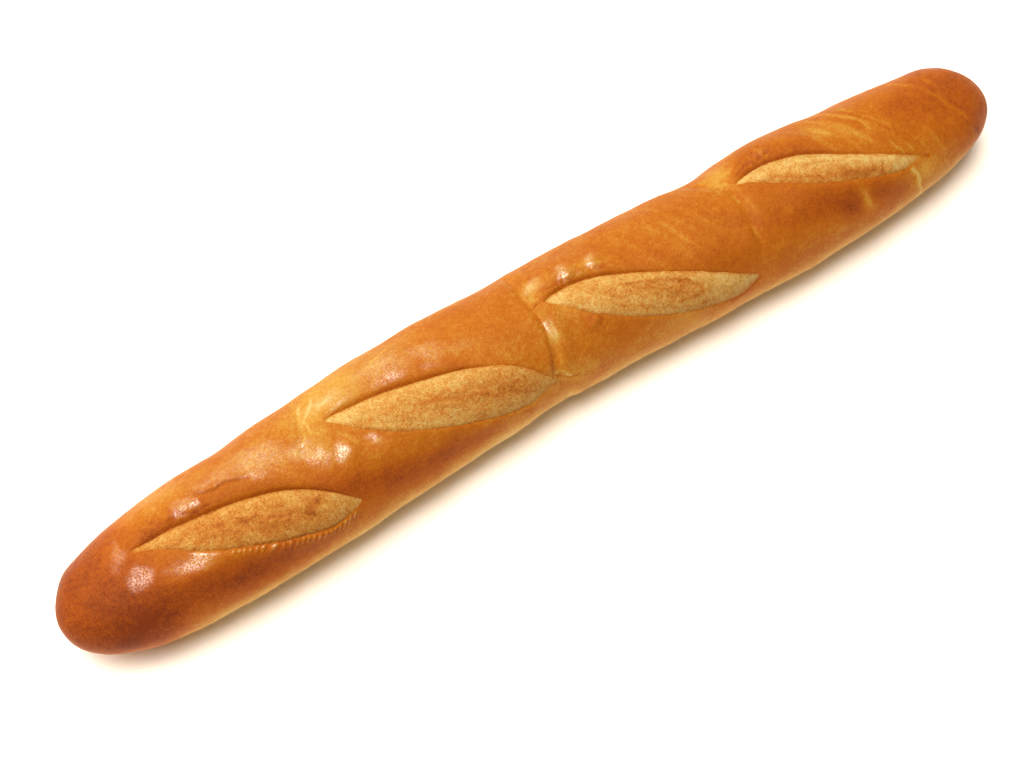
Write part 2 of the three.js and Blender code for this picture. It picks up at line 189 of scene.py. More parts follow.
# %% The edges of the four cuts
# hold is how far along the cut its lip stays full, and rim is the height of the near rim.
CUTS = [
    dict(
        far=[(-212, 6), (-192, 4.4), (-175, 1.2), (-159, -3), (-143, -9.4), (-129, -19), (-116, -32)],
        near=[(-212, 6), (-200, -0.8), (-183, -13.4), (-162, -24), (-146, -31), (-132, -35.2), (-116, -33.5)],
        hold=0.75, rim=1.1,
    ),
    dict(
        far=[(-116, 8), (-97, 6), (-79, 1.4), (-62, -4), (-47, -9.6), (-30, -19), (-16, -33.4)],
        near=[(-116, 8), (-105, -3), (-94, -12.6), (-78, -21.8), (-55, -32.4), (-32, -39), (-16, -35)],
        hold=0.55, rim=0.4,
    ),
    dict(
        far=[(-7, 1.5), (5, 2.6), (16, 1.8), (28, -2.2), (46, -10.7), (68, -22), (92, -35.5)],
        near=[(-7, 1.5), (2, -6), (12, -15.7), (28, -25), (50, -35), (78, -41.6), (92, -37.5)],
        hold=0.36, rim=0.3,
    ),
    dict(
        far=[(101, 9.8), (114, 12.2), (126, 11), (141, 5.8), (157, -4), (177, -14.6), (192, -21.6)],
        near=[(101, 9.8), (108, 6.6), (121, -2), (138, -11.4), (156, -18.2), (178, -24.2), (192, -22.8)],
        hold=0.5, rim=0.6,
    ),
]
for number, cut in enumerate(CUTS, 1):
    print("cut", number, "is", cut["far"][-1][0] - cut["far"][0][0], "mm long")


# %% Where a cut is, and how strong its lip and rim are
LIP_GROWS = 0.14
LIP_FADES = (-0.15, 0.25)
RIM_GROWS = (0.1, 0.45)
RIM_FADES = (0.8, 1)


def cut_at(cut, x):
    """The share along a cut, its far and near edge there, and how much its lean narrows it."""
    start, end = cut["far"][0][0], cut["far"][-1][0]
    far = curve_through(cut["far"], x)
    near = curve_through(cut["near"], x)
    lean = (curve_through(cut["far"], x + 1) - curve_through(cut["far"], x - 1)) / 2
    return (x - start) / (end - start), far, near, 1 / np.hypot(1, lean)


def lip_strength(cut, along):
    fades = smoothstep(cut["hold"] + LIP_FADES[0], cut["hold"] + LIP_FADES[1], along)
    return smoothstep(0, LIP_GROWS, along) * (1 - fades)


def rim_strength(along):
    return smoothstep(*RIM_GROWS, along) * (1 - smoothstep(*RIM_FADES, along))


print("lip strength halfway along each cut:", [round(float(lip_strength(cut, 0.5)), 2) for cut in CUTS])

# %% [markdown]
# ## Unevenness
#
# No loaf is quite even. Random unevenness comes from a lattice of random numbers, blended
# smoothly between its corners, and is called grain here. It is seeded, so the loaf is the same
# at every run. The broad lumps and swells are the ones that the solid has, so that the fine
# skin follows it. Anything with a place of its own is a soft oval patch.

# %% Lumps and patches
LUMPS = [
    dict(size=0.14, along=41, round=67, phase=0.4),
    dict(size=0.1, along=27, round=-44, phase=2.1),
    dict(size=0.12, along=63, round=23, phase=4.3),
]
# Each patch: x, t, half length, half width, turn in degrees, height.
SWELLS = [
    (-242, 26, 9, 18, 0, 2.2),
    (-163, 32, 18, 14, 0, -0.8),
    (-92, 30, 30, 20, 0, 1.5),
    (-28, 32, 14, 14, 0, -0.5),
    (45, 30, 26, 20, 0, 0.8),
    (97, 32, 10, 12, 0, -0.5),
    (133, 30, 24, 20, 0, 2.0),
    (234, 24, 20, 16, 0, 2.2),
]


def waves(parts, x, t):
    total = 0
    for wave in parts:
        turn = x / wave["along"] + t / wave["round"]
        total = total + wave["size"] * np.sin(2 * math.pi * turn + wave["phase"])
    return total


def blob(x, t, place, size, turn):
    """A soft oval patch, 1 at its middle, with its long side turned by some degrees."""
    angle = math.radians(turn)
    along = (x - place[0]) * math.cos(angle) + (t - place[1]) * math.sin(angle)
    across = (t - place[1]) * math.cos(angle) - (x - place[0]) * math.sin(angle)
    return np.exp(-((along / size[0]) ** 2) - (across / size[1]) ** 2)


def patch_sum(x, t, patches):
    """Soft patches added up, each given as (x, t, half length, half width, turn, amount)."""
    return sum(patch[5] * blob(x, t, patch[:2], patch[2:4], patch[4]) for patch in patches)


def lumps(x, t):
    return waves(LUMPS, x, t) + patch_sum(x, t, SWELLS)


print("lump at the middle of the loaf, mm:", round(float(lumps(0.0, 0.0)), 2))

# %% Grain
LATTICE = 512


def grain(x, t, length, width, seed):
    """Smooth random values from -1 to 1, with grains of the given length and width."""
    table = np.random.RandomState(seed).uniform(-1, 1, (LATTICE, LATTICE))
    u, v = np.broadcast_arrays(x / length, t / width)
    iu, iv = np.floor(u).astype(int), np.floor(v).astype(int)
    su, sv = u - iu, v - iv
    su, sv = su * su * (3 - 2 * su), sv * sv * (3 - 2 * sv)

    def corner(i, j):
        return table[(iu + i) % LATTICE, (iv + j) % LATTICE]

    low = corner(0, 0) * (1 - su) + corner(1, 0) * su
    high = corner(0, 1) * (1 - su) + corner(1, 1) * su
    return low * (1 - sv) + high * sv


def grains(x, t, layers):
    """Layers of grain added up, each given as (amount, length, width, seed)."""
    return sum(layer[0] * grain(x, t, *layer[1:]) for layer in layers)


def wander(x, t, push):
    """The places (x, t) pushed about, so that an edge laid out on them comes out ragged."""
    return x + grains(x, t, push["x"]), t + grains(x, t, push["t"])


print("one grain value:", round(float(grain(np.array([12.3]), np.array([4.5]), 5, 5, 1)[0]), 3))


# %% [markdown]
# ## Relief of the skin
#
# The lip is upright where it meets the crumb, bends over within a millimetre, rises slowly
# to a level crest well back from the edge, and then falls away gently. Inside a cut the skin
# dives under the crumb, where nobody sees it, so that the crumb can be a piece of its own
# with a crisp edge. A displacement painted on the solid could not make so sharp a corner.

# %% Relief round the cuts
# The lip is highest a crest's distance back from the edge, and its foot lies depth below the
# smooth skin. Past the crest, lip and rim fall away over their skirts.
LIP = dict(height=1.9, crest=10, narrowest=1.5, depth=1.4, skirt=9, steepness=0.38)
RIM = dict(crest=1.6, skirt=4.5, edge=0.1)
CRUMB = dict(bulge=1.5, edge=0.2, near_edge=0.12, steepness=3.2)
BURIED = dict(depth=3.5, start=0.6, full=2.2, foot=6)
CUT_TIP = 0.04


def rise_round_cuts(x, t):
    rise = np.zeros(np.broadcast_shapes(x.shape, t.shape))
    for cut in CUTS:
        along, far, near, squeeze = cut_at(cut, x)
        present = (along > 0) & (along < 1)
        ends = smoothstep(0, CUT_TIP, along) * (1 - smoothstep(1 - CUT_TIP, 1, along))
        past_far = (t - far) * squeeze
        past_near = (near - t) * squeeze
        strength = lip_strength(cut, along)
        crest = LIP["height"] * strength
        foot = -ends * (LIP["depth"] * strength + CRUMB["edge"])
        reach = np.maximum(LIP["crest"] * strength, LIP["narrowest"])
        share = np.clip(past_far / reach, 0, 1)
        face = foot + (crest - foot) * np.sin(math.pi / 2 * share) ** LIP["steepness"]
        beyond = crest * bell(np.maximum(past_far - reach, 0), LIP["skirt"])
        far_side = np.where(past_far < reach, face, beyond)
        rim = cut["rim"] * rim_strength(along)
        rounding = smoothstep(0, RIM["crest"], past_near)
        near_side = (rim * bell(np.maximum(past_near - RIM["crest"], 0), RIM["skirt"])
                     - ends * RIM["edge"] * (1 - rounding) ** 2)
        inward = np.minimum(-past_far, -past_near)
        under = ends * BURIED["depth"] * smoothstep(BURIED["start"], BURIED["full"], inward)
        near_foot = -ends * RIM["edge"]
        to_far_foot = (np.minimum(foot, near_foot) - near_foot) * smoothstep(-BURIED["foot"], 0, past_far)
        inside = near_foot + to_far_foot - under
        height = np.where(past_far >= 0, far_side, np.where(past_near >= 0, near_side, inside))
        rise = rise + np.where(present, height, 0)
    return rise


test_rise = rise_round_cuts(np.array([[-60.0]]), np.array([[-4.5, 4, 20]]))
print("rise at the line, on the lip and beyond, mm:", np.round(test_rise, 2))

# %% [markdown]
# Three creases run round the loaf where the skin folded between two cuts. Each one is a
# valley along a smooth line of (t, x) points, and the sharp one has a low ridge beside it.

# %% Creases across the loaf
CREASES = [
    dict(line=[(-50, -10), (-31, -15), (-21, -12), (-6, -9.8), (5, -10.4), (20, -9.5)],
         depth=1.5, width=2.2, ridge=0.7, end=26),
    dict(line=[(-19, 97), (-2, 99.6), (6, 100), (12, 97), (18, 92.6), (24, 88)],
         depth=1.0, width=3.0, ridge=0.0, end=30),
    dict(line=[(-2, -128.6), (5, -126), (14, -122.4), (29, -121.5)],
         depth=0.8, width=4.0, ridge=0.0, end=32),
]
CREASE_FADE = dict(start=12, end=6)
CREASE_RIDGE = dict(away=2.5, width=1.5)


def fall_at_creases(x, t):
    fall = 0
    for crease in CREASES:
        valley = curve_through(crease["line"], t)
        start, end = crease["line"][0][0], crease["end"]
        reach = smoothstep(start - CREASE_FADE["start"], start, t)
        reach = reach * (1 - smoothstep(end - CREASE_FADE["end"], end + CREASE_FADE["end"], t))
        away = x - valley - CREASE_RIDGE["away"] * crease["width"]
        ridge = crease["ridge"] * bell(away, CREASE_RIDGE["width"] * crease["width"])
        fall = fall + reach * (crease["depth"] * bell(x - valley, crease["width"]) - ridge)
    return fall


test_fall = fall_at_creases(np.array([-10.0]), np.array([-6.0]))
print("depth of the sharp crease, mm:", round(float(test_fall[0]), 2))

# %% [markdown]
# Small marks come next: blisters and knobs on the lips, fine wrinkles where a lip is pinched, and the teeth
# along the first cut's near rim. Wrinkles and teeth are both rows of short ridges along an edge of a cut, so
# one function makes them. Each kind is a short list that was placed from the real loaf.

# %% Blisters
# Each patch: x, t, half length, half width, turn in degrees, height.
BLISTERS = [
    (-189.5, 7.7, 2.2, 1.4, 0, 0.9),
    (-179, 7.2, 7, 4.2, -15, 0.8),
    (-207, -13, 7, 6.5, 0, 0.8),
    (-188, -19.5, 9, 4.5, -15, 1.45),
    (-146, 6, 14, 8, -20, 0.5),
    (-129, -4, 6, 5, 0, 0.6),
    (-111, -11, 4, 4.5, 0, 0.9),
    (-102, -18.5, 6, 3.4, -35, 0.7),
    (11.5, 5.6, 2.0, 1.5, 0, 0.7),
    (13, 8.8, 4.5, 2.8, 0, 0.7),
    (17, 4.8, 1.6, 2.2, 0, 0.6),
    (25, 6.6, 3.2, 3.4, 0, 0.9),
    (10.9, -17.7, 1.8, 1.8, 0, 1.0),
    (8, -19.5, 2.6, 1.4, 0, 0.5),
    (-4, 9, 5, 3, 0, 0.5),
]
print("highest blister, mm:", max(patch[5] for patch in BLISTERS))

# %% Wrinkles and teeth
RIDGES_ON_LIP = dict(edge="far", grow=0.25, fade=0.6, foot=(0, 1.2), level=1.5, lean=-0.5,
                     wander=[(1.2, 5, 6, 11)])
WRINKLES = [
    dict(cut=0, start=0.06, end=0.34, pitch=3.1, height=0.6, reach=6),
    dict(cut=1, start=0.02, end=0.26, pitch=1.5, height=0.07, reach=4),
    dict(cut=2, start=0.06, end=0.4, pitch=2.6, height=0.3, reach=4),
    dict(cut=3, start=0.02, end=0.42, pitch=3.1, height=0.4, reach=5),
]
WRINKLE_LEVEL = 0.6
WRINKLE_GRAIN = [(0.4, 4, 9, 12)]
TEETH = dict(edge="near", grow=0.15, fade=0.9, foot=(-0.3, 0.4), level=0.8, lean=0.7,
             wander=[(1.8, 6, 8, 14)], cut=0, start=0.34, end=0.99, pitch=2.6, reach=2.2)
TOOTH_HEIGHT = 0.5


def ridges(x, t, row):
    """A row of short ridges along one edge of a cut, from -1 to 1."""
    along, far, near, squeeze = cut_at(CUTS[row["cut"]], x)
    past = (t - far if row["edge"] == "far" else near - t) * squeeze
    share = (along - row["start"]) / (row["end"] - row["start"])
    here = smoothstep(0, row["grow"], share) * (1 - smoothstep(row["fade"], 1, share))
    here = here * smoothstep(*row["foot"], past) * bell(np.maximum(past - row["level"], 0), row["reach"])
    turn = (x + row["lean"] * past + grains(x, t, row["wander"])) / row["pitch"]
    return here * np.sin(2 * math.pi * turn)


def lip_wrinkles(x, t):
    rise = sum(zone["height"] * ridges(x, t, {**RIDGES_ON_LIP, **zone}) for zone in WRINKLES)
    return rise * (WRINKLE_LEVEL + grains(x, t, WRINKLE_GRAIN))


print("wrinkled lips:", len(WRINKLES), "and tooth pitch, mm:", TEETH["pitch"])

# %% [markdown]
# Fine dark lines are folds and tears: the outline of the flake and of the torn skin on the first lip, the
# puckers of the other lips, short fissures at cut tips, a nick in the far end and a seam low on the near
# side. The lines are grooves in the relief here, and later painted shade darkens the colour along them.
# Beyond the torn edge on the first lip the skin is lifted a little.

# %% Folds and tears
TORN_EDGE = dict(
    line=[(-177, 12), (-173, 8.6), (-170.6, 7.2), (-167.4, 6.6), (-164.3, 7.1), (-160, 5.4), (-153, 2.4)],
    step=0.9, foot=(-0.2, 0.6), spread=5, grow=3, fade=5, grain=[(0.4, 2.2, 2.2, 13)],
)
# Each line: its (x, t) points, its half width, and how deep and how darkly shaded it is.
TEARS = [
    (TORN_EDGE["line"], 0.5, 0.6),
    ([(-184.9, 9.2), (-181, 11.3), (-177, 10.6), (-174, 8)], 0.5, 0.35),
    ([(-172, 3.2), (-176, 2.9), (-180, 3.6), (-184.5, 6.1), (-185.4, 8.6)], 0.55, 0.9),
    ([(-204, 6.8), (-198, 6.9), (-193, 5.8), (-187.5, 5)], 0.5, 0.6),
    ([(-197, 10), (-193.5, 8.2), (-191.8, 7), (-188, 6.4)], 0.5, 0.5),
    ([(-202, 9.4), (-199.6, 8)], 0.5, 0.5),
    ([(-195.4, 8.6), (-194.6, 6.4)], 0.5, 0.6),
    ([(-187.6, 9.4), (-187, 5.6)], 0.5, 0.7),
    ([(-11.6, -2), (-10.9, -8), (-12.2, -14), (-15, -22), (-16.5, -31)], 0.7, 0.45),
    ([(-2, 4.6), (4, 5.4), (9, 4.4), (12.4, 3.6), (15, 5.4), (18.6, 4.8)], 0.5, 0.5),
    ([(-12, 0.6), (-7, 1.4)], 0.5, 0.9),
    ([(20, 5), (22.5, 3.2), (27, 2.2)], 0.6, 0.6),
    ([(107, 12.6), (113, 15.4), (118, 14.2), (126, 15)], 0.7, 0.7),
    ([(104, 13), (108, 16.5), (113, 18.5)], 0.6, 0.4),
    ([(-19, -32.2), (-15, -33.4), (-9, -36.6), (-5, -37)], 0.5, 0.7),
    ([(75, -42.4), (80, -42.6), (85, -41.6), (89, -39.8), (92, -38)], 0.7, 1.0),
    ([(223, -14), (226, -17), (231, -23.5), (234, -31)], 0.7, 0.6),
    ([(229.5, -23), (232.5, -25)], 1.1, 1.0),
    ([(193.8, -23), (196.4, -23.6)], 0.8, 0.9),
    ([(8.6, -16.6), (10.8, -15.6), (12.9, -17.2), (12, -19.8)], 0.6, 0.6),
    ([(-206, -47), (-196, -50), (-180, -53), (-160, -55)], 0.8, 0.35),
    ([(-197, -46), (-195, -46.6)], 0.9, 0.9),
]
print("folds and tears:", len(TEARS))


# %% Marks along lines
def distance_to_line(x, t, line):
    """How far each (x, t) is from a line of straight stretches."""
    best = np.full(np.broadcast_shapes(x.shape, t.shape), 1e9)
    for (ax, at), (bx, bt) in zip(line[:-1], line[1:]):
        size = (bx - ax) ** 2 + (bt - at) ** 2
        share = np.clip(((x - ax) * (bx - ax) + (t - at) * (bt - at)) / size, 0, 1)
        best = np.minimum(best, np.hypot(x - ax - share * (bx - ax), t - at - share * (bt - at)))
    return best


def line_marks(x, t, lines):
    """The strongest of some lines at each place, each given as (points, half width, strength)."""
    marks = 0
    for points, width, strength in lines:
        marks = np.maximum(marks, strength * bell(distance_to_line(x, t, points), width))
    return marks


away = distance_to_line(np.array([-165.0]), np.array([10.0]), TORN_EDGE["line"])
print("from a spot on the first lip to its torn edge, mm:", round(float(away[0]), 2))

# %% Grooves of the tears, and the lifted skin
TEAR_DEPTH = 0.35
TEAR_WANDER = dict(x=[(0.7, 2.1, 2.1, 15)], t=[(0.7, 2.1, 2.1, 16)])


def tear_marks(x, t):
    return line_marks(*wander(x, t, TEAR_WANDER), TEARS)


def past_torn_edge(x, t):
    """How far each place is above the torn edge on the first lip, and how much it counts."""
    line = TORN_EDGE["line"]
    first, last = line[0][0], line[-1][0]
    above = t - curve_through(line, x) + grains(x, t, TORN_EDGE["grain"])
    here = smoothstep(first, first + TORN_EDGE["grow"], x)
    return above, here * (1 - smoothstep(last - TORN_EDGE["fade"], last, x))


def torn_step(x, t):
    """The lifted skin beyond the torn edge, which fades out away from it."""
    above, here = past_torn_edge(x, t)
    lift = smoothstep(*TORN_EDGE["foot"], above) * bell(np.maximum(above, 0), TORN_EDGE["spread"])
    return TORN_EDGE["step"] * here * lift


lifted = torn_step(np.array([[-165.0]]), np.array([[8.0]]))
print("lifted skin just above the torn edge, mm:", round(float(lifted[0, 0]), 2))

# %% [markdown]
# Where the skin stretched as the loaf rose, thin paler lines were left: a net of them in the
# neck between the first two cuts, one beside the sharp crease, and long faint ones that run
# round the far half, with bands of faint streaks beside them. The lines stand up a little and
# they baked paler, so the same function is used for the relief now and for the colour later.

# %% Stretch lines
# Each line: its (x, t) points, its half width, how pale it is.
STRETCHES = [
    ([(-118.3, 36), (-121, 21), (-123.5, 12), (-126, 4.6), (-130, 0)], 0.9, 0.9),
    ([(-111, 26), (-114.3, 18), (-120, 13.6), (-121, 6), (-117, 1), (-119, -6)], 0.8, 0.8),
    ([(-62, 27), (-72, 21), (-86, 17.5), (-100, 14.5), (-112, 15)], 0.7, 0.5),
    ([(-117, 4), (-112, -3), (-108, -9), (-101, -13), (-94, -17)], 0.8, 0.5),
    ([(-128, 12), (-133, 4), (-128, -4), (-122, -10)], 0.8, 0.45),
    ([(-8, 14), (-9.5, 6), (-8, -4), (-9, -14), (-10.5, -22), (-12, -30)], 1.1, 0.7),
    ([(88, 26), (94, 19), (100, 12), (103, 4), (101, -8), (98, -20), (96, -30)], 0.8, 0.4),
    ([(184, -26), (187.8, -32.6), (187.6, -40.3), (189, -47)], 1.0, 1.2),
    ([(122, 20), (126, 14)], 0.8, 0.55),
    ([(117, 19), (121, 13.4)], 0.7, 0.5),
    ([(163, 27), (173.1, 11), (177.6, -1.1), (181.1, -9.1), (183.4, -16.3)], 0.8, 0.7),
    ([(171, 24), (176.1, 14.4), (183.1, 2.7), (185.9, -6.7), (187.6, -17.6)], 0.7, 0.5),
    ([(150, 28), (158, 18), (166, 6), (171, -5)], 0.7, 0.4),
    ([(206, 22), (214, 10), (222.9, -10.4), (226, -17), (227.3, -28.4), (222.9, -38.8)], 1.1, 0.6),
    ([(218, 16), (222, 8), (220, 2)], 1.1, 0.9),
    ([(154.3, -20), (154.4, -27.5), (156.8, -33)], 1.4, 0.55),
    ([(-19, -31), (-14, -32.3), (-9, -35.3)], 0.6, 1.1),
    ([(99.2, 3.4), (99.4, -5.4), (98.1, -17.8)], 0.8, 0.6),
    ([(106.2, -3.7), (112.8, -11.9), (116, -17.8)], 0.7, 0.45),
    ([(121.6, -4.3), (116.6, -9.6), (116, -17.8)], 0.7, 0.45),
    ([(-137, -37), (-136, -42), (-135, -50)], 0.7, 0.3),
    ([(-151, -34), (-150.5, -41), (-150, -52)], 0.6, 0.3),
]
STRETCH_RELIEF = 0.15
STRETCH_WANDER = dict(x=[(1.8, 7, 7, 21), (0.7, 2.5, 2.5, 22)], t=[(1.8, 7, 7, 23), (0.7, 2.5, 2.5, 24)])
BROKEN = dict(level=0.6, grain=[(0.8, 5, 5, 25)], least=0.1)


def stretch_marks(x, t):
    broken = np.clip(BROKEN["level"] + grains(x, t, BROKEN["grain"]), BROKEN["least"], 1)
    return broken * line_marks(*wander(x, t, STRETCH_WANDER), STRETCHES)


print("stretch lines:", len(STRETCHES))

# %% Streaks
STREAKS = [
    dict(place=(70, 6), size=(26, 26), pitch=6.5, lean=0.42, pale=0.26),
    dict(place=(165, 10), size=(26, 20), pitch=8, lean=0.45, pale=0.28),
    dict(place=(-40, 12), size=(26, 18), pitch=9, lean=0.25, pale=0.12),
    dict(place=(205, -20), size=(20, 22), pitch=8, lean=0.55, pale=0.22),
]
STREAK_CURVE = 0.004
STREAK_WANDER = [(1.6, 14, 30, 26)]
STREAK_GRAIN = [(0.7, 3, 14, 27)]


def streak_marks(x, t):
    """Faint paler bands that run round the loaf, closer to a pull than to a line."""
    marks = 0
    for streak in STREAKS:
        bent = x + streak["lean"] * t + STREAK_CURVE * t * t + grains(x, t, STREAK_WANDER)
        wave = np.sin(2 * math.pi * bent / streak["pitch"])
        band = np.clip(wave + grains(x, t, STREAK_GRAIN), 0, 1)
        marks = marks + streak["pale"] * band * blob(x, t, streak["place"], streak["size"], 0)
    return marks


print("streaked areas:", len(STREAKS))

# %% The whole relief of the skin
RELIEF_FADE = dict(low=2, high=12, tip=14)
SKIN_GRAIN = [(0.12, 9, 9, 31), (0.07, 3.6, 3.6, 32)]


def skin_rise(x, t, z):
    """All the relief together, which fades out toward the underside and the two tips."""
    clear = smoothstep(RELIEF_FADE["low"], RELIEF_FADE["high"], z)
    clear = clear * smoothstep(0, RELIEF_FADE["tip"], HALF_LENGTH - np.abs(x))
    broad = lumps(x, t) + rise_round_cuts(x, t) - fall_at_creases(x, t)
    fine = patch_sum(x, t, BLISTERS) + lip_wrinkles(x, t) + TOOTH_HEIGHT * ridges(x, t, TEETH)
    lines = torn_step(x, t) - TEAR_DEPTH * tear_marks(x, t) + STRETCH_RELIEF * stretch_marks(x, t)
    return clear * (broad + fine + lines + grains(x, t, SKIN_GRAIN))


test_rise = skin_rise(np.array([[0.0]]), np.array([[0.0]]), HEIGHT)
print("relief at the middle of the loaf, mm:", round(float(test_rise[0, 0]), 2))

# %% [markdown]
# ## The crust mesh
#
# The skin is one closed grid: rings round the loaf, about a millimetre apart, with their
# points closest together over the top, where the cuts are. Subdividing the solid could not
# do this, because its facets don't follow the lips. The grid stays under 200,000 triangles.

# %% Rings and columns of the skin
RING_STEP = 1.05
END_LENGTH = 30
END_RINGS = 34
TOP_BAND = (-52, 30)
TOP_STEP = 0.62
LOWER_COLUMNS = dict(near=30, far=42)
LOWER_SPREAD = dict(near=1.15, far=1.1)
FULL_HALF = float(middle[2][0, -1])


def ring_places():
    ends = END_LENGTH * (np.arange(1, END_RINGS + 1) / END_RINGS) ** 2
    inner = HALF_LENGTH - END_LENGTH
    between = np.arange(-inner + RING_STEP, inner - RING_STEP / 2, RING_STEP)
    return np.concatenate([ends - HALF_LENGTH, between, (HALF_LENGTH - ends)[::-1]])


def column_places(half_length):
    """Distances round one section, fine over the top and coarser toward the bottom line."""
    band = np.arange(TOP_BAND[0], TOP_BAND[1], TOP_STEP) * half_length / FULL_HALF
    near = np.linspace(0, 1, LOWER_COLUMNS["near"] + 1)[1:] ** LOWER_SPREAD["near"]
    far = np.linspace(0, 1, LOWER_COLUMNS["far"] + 1)[1:-1] ** LOWER_SPREAD["far"]
    near = band[0] - (band[0] + half_length) * near
    far = band[-1] + (half_length - band[-1]) * far
    return np.concatenate([near[::-1], band, far])


ring_x = ring_places()
half_lengths = half_sections(ring_x)[2][:, -1]
ring_t = np.array([column_places(half) for half in half_lengths])
print(len(ring_x), "rings of", ring_t.shape[1], "points")


# %% Helpers for meshes
def new_object(name, data):
    made = bpy.data.objects.new(name, data)
    bpy.context.scene.collection.objects.link(made)
    return made


def mesh_object(name, points, faces):
    """A smooth mesh from points in millimetres."""
    mesh = bpy.data.meshes.new(name)
    mesh.from_pydata((np.asarray(points) * MM).tolist(), [], faces)
    mesh.validate()
    mesh.shade_smooth()
    return new_object(name, mesh)


def ring_faces(rings, columns):
    """Four-sided faces between rings of points, each ring closed on itself."""
    i = np.arange(rings - 1)[:, None]
    j = np.arange(columns)[None, :]
    after = (j + 1) % columns
    quads = [i * columns + j, (i + 1) * columns + j, (i + 1) * columns + after, i * columns + after]
    return np.stack(quads, axis=-1).reshape(-1, 4).tolist()


def store(piece, name, values):
    """Keeps one number per point on the mesh, where a material can read it."""
    layer = piece.data.attributes.new(name, "FLOAT", "POINT")
    layer.data.foreach_set("value", np.asarray(values, dtype=np.float32).ravel())


print("faces between 2 rings of 4 points:", len(ring_faces(2, 4)))

# %% Build the crust
skin = (ring_x[:, None], ring_t)
grid_x = np.repeat(ring_x[:, None], ring_t.shape[1], axis=1)
base_y, base_z, out_y, out_z = skin_points(ring_x, ring_t)
rise = skin_rise(*skin, base_z)
skin_y = base_y + out_y * rise
skin_z = np.maximum(base_z + out_z * rise, 0)
across_middle = (skin_y.min() + skin_y.max()) / 2
tips = [(side * HALF_LENGTH, centre_line(side * HALF_LENGTH), WIDEST_HEIGHT) for side in (-1, 1)]
points = np.stack([grid_x, skin_y, skin_z], axis=-1).reshape(-1, 3)
points = np.concatenate([points, tips])
points[:, 1] -= across_middle
columns = ring_t.shape[1]
faces = ring_faces(len(ring_x), columns)
first_tip, last_tip = len(points) - 2, len(points) - 1
last_ring = (len(ring_x) - 1) * columns
for j in range(columns):
    faces.append((first_tip, j, (j + 1) % columns))
    faces.append((last_tip, last_ring + (j + 1) % columns, last_ring + j))
crust = mesh_object("crust", points, faces)
print("crust:", len(crust.data.vertices), "points, moved across by", round(float(across_middle), 2), "mm")

# %% [markdown]
# ## How far the skin is baked, with its painted shade and highlights
#
# Colour on a loaf is mostly how far each spot has baked. It is darkest at the ends and on the upper
# shoulders, paler low down where the tray and the neighbours shaded it, and paler in the necks where fresh
# dough came up late. Painted shade darkens it along the folds and tears and where a lip meets the crumb, and
# two paler patches are a painted highlight and a painted haze. It could be painted by hand, but a sum of soft
# patches can be read and changed. One number per point, the bake with its painted shade and highlights, is
# stored on the mesh, and the material turns it into colour.

# %% Patches that are baked more or less, and painted highlights
# Each patch: x, t, half length, half width, turn in degrees, how much more it is baked; two paler ones are a
# painted highlight and a painted haze.
BAKE_AND_HIGHLIGHT_PATCHES = [
    (-220, -20, 20, 12, 0, 0.14),
    (-190, -27, 24, 9, -8, 0.3),
    (-158, -35, 24, 7, -8, 0.26),
    (-122, -23, 13, 7, -25, 0.24),
    (-98, -32, 20, 8, -18, 0.24),
    (-68, -38, 24, 6, -10, 0.2),
    (8, -32, 34, 8, -15, 0.05),
    (72, -19, 24, 8, -20, 0.1),
    (138, -23, 34, 8, -12, 0.17),
    (-192, 7, 14, 3.8, -4, 0.07),
    (-163, 2, 14, 2.5, -20, 0.1),
    (-40, -36, 30, 8, -6, -0.1),
    (45, -40, 40, 8, -6, -0.14),
    (130, -34, 30, 8, -10, -0.1),
    (212, -34, 26, 12, -10, -0.12),
    (-6, -36, 8, 10, 0, -0.12),
    (154, 12, 9, 7, -60, -0.22),
    (166, 4, 7, 4, -50, -0.12),
    (146, -29, 7, 6, 0, 0.16),
    (155, -28, 3, 7, 8, -0.3),
    (167, -31, 8, 6, 0, 0.1),
    (-147, -5, 13, 3, -28, 0.12),
    (138, 11, 20, 4, -18, 0.12),
    (205, 4, 20, 12, 0, 0.1),
    # Painted reflection: a paler haze along the far edge of the near end.
    (-202, 24, 24, 11, 0, -0.12),
    (-106, 20, 24, 14, 0, -0.24),
    (-121, 3, 7, 12, 10, -0.1),
    (-75, 24, 18, 7, -20, -0.08),
    (101, 19, 7, 11, -20, -0.26),
    (-9, 6, 5, 14, 0, -0.08),
    (-5, 9, 6, 3, -10, -0.16),
    (4, -8, 7, 6, 0, -0.12),
    # Painted highlight: paler skin on the near end's crescent, where the lamps catch it.
    (-214, 9, 8, 6, -15, -0.12),
    (20, 5.5, 10, 4, -15, -0.14),
    (-58, -3.4, 13, 4, -25, 0.1),
    (-10, -15, 6, 8, 0, -0.1),
    (192, -30, 11, 8, 30, -0.14),
    (178, -27, 7, 3, -15, -0.1),
]
print("baked patches:", len(BAKE_AND_HIGHLIGHT_PATCHES))

# %% Bake of the skin, with painted shade
BAKE_LEVEL = 0.5
BAKE_ALONG = [
    dict(start=-188, end=-226, more=0.35),
    dict(start=10, end=110, more=0.06),
    dict(start=196, end=240, more=0.18),
]
LOW_BAND = dict(low=9, high=31, paler=0.5, grain=[(2.5, 40, 40, 41), (1.2, 12, 12, 45)])
SOLE = dict(low=0.1, high=2, more=0.35)
MOTTLE = [(0.035, 22, 16, 42), (0.03, 8, 7, 43), (0.02, 3, 3, 44)]
# Painted shade along the grooves of the folds and tears.
TEAR_SHADE = 0.26
# Painted shade: a thin dark line along the foot of each lip, where it meets the crumb.
FOOT_SHADE = dict(more=0.16, width=0.9, least=0.2, grow=0.06, fade=0.9)


